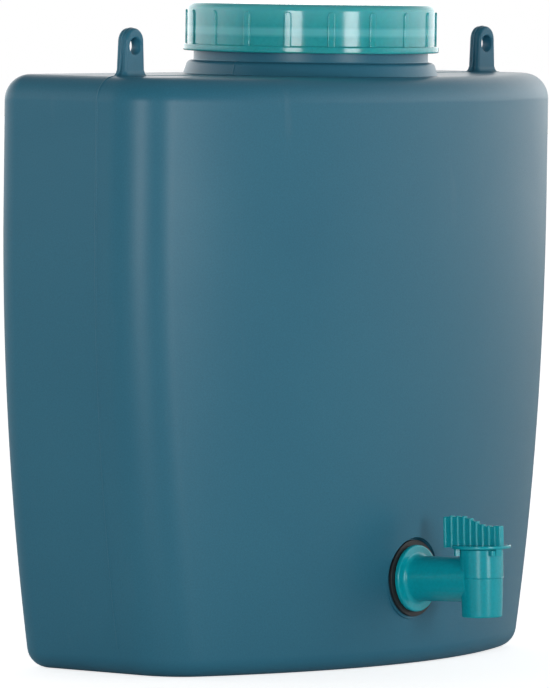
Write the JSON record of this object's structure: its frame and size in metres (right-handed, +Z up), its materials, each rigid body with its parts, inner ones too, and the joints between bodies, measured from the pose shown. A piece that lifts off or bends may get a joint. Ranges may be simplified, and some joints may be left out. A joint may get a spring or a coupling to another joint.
{
  "type": "water container with tap",
  "caption": "Flat-backed water tank with a bowed front, wide screw-capped neck, hanging ears and a quarter-turn tap low on the front.",
  "frame": {"origin": "on the flat base, under the axis of the neck", "axes": "+Z up along the neck's axis; +X to the right along the moulding's parting plane, seen from the front; the tap leaves the front towards -Y"},
  "size_m": [0.3326, 0.1859, 0.3205],
  "materials": {
    "tank_plastic": "satin blow-moulded polyethylene, petrol blue, fine grain",
    "cap_plastic": "glossy injection-moulded polypropylene, slightly see-through teal",
    "cap_seal": "soft pale foam-rubber seal",
    "tap_plastic": "glossy injection-moulded plastic, opaque teal",
    "black_rubber": "matte black rubber"
  },
  "bodies": {
    "container": {"tank": "tank_plastic", "tap_body": "tap_plastic", "tap_flange_gasket": "black_rubber", "tap_inner_washer": "black_rubber", "tap_back_nut": "tap_plastic"},
    "cap_seal": {"cap_gasket": "cap_seal"},
    "cap": {"screw_cap": "cap_plastic"},
    "key": {"tap_key": "tap_plastic", "plug_o_ring_upper": "black_rubber", "plug_o_ring_lower": "black_rubber"}
  },
  "joints": [
    {"name": "cap_lift", "type": "slide", "parent": "container", "child": "cap_seal", "axis": [0, 0, 1], "range_m": [0, 0.009]},
    {"name": "cap_turn", "type": "hinge", "parent": "cap_seal", "child": "cap", "pos_m": [0, 0, 0.309], "axis": [0, 0, 1], "range_deg": [0, 540]},
    {"name": "tap_turn", "type": "hinge", "parent": "container", "child": "key", "pos_m": [0, -0.10816, 0.04448], "axis": [0, 0.0349, 0.9994], "range_deg": [0, 90]}
  ],
  "couplings": [
    {"joint": "cap_lift", "follows": "cap_turn", "m_per_rad": 0.00095493}
  ]
}
